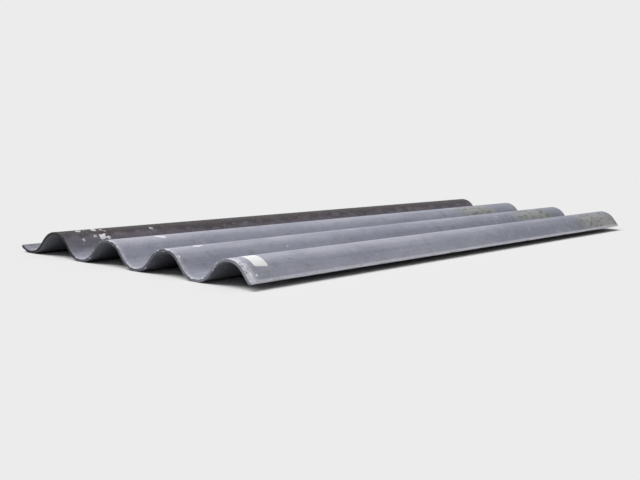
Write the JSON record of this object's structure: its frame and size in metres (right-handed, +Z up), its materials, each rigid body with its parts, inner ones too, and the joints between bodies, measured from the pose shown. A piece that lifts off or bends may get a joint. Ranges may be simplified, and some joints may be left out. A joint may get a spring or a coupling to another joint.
{
  "type": "corrugated fibre cement sheet",
  "caption": "Corrugated roofing sheet of fibre cement: rounded waves run its whole length, both ends are sawn square, one long edge turns down and the other turns up out of a trough.",
  "frame": {"origin": "on the floor the sheet lies on, under the middle of its outline", "axes": "+X along the waves, +Y across them from the down-turned front edge to the up-turned back edge, +Z up"},
  "size_m": [1.83, 0.7116, 0.0575],
  "materials": {
    "fibre_cement": "matte, dusty, weathered blue-grey"
  },
  "bodies": {
    "root": {"corrugated_sheet": "fibre_cement"}
  },
  "joints": []
}
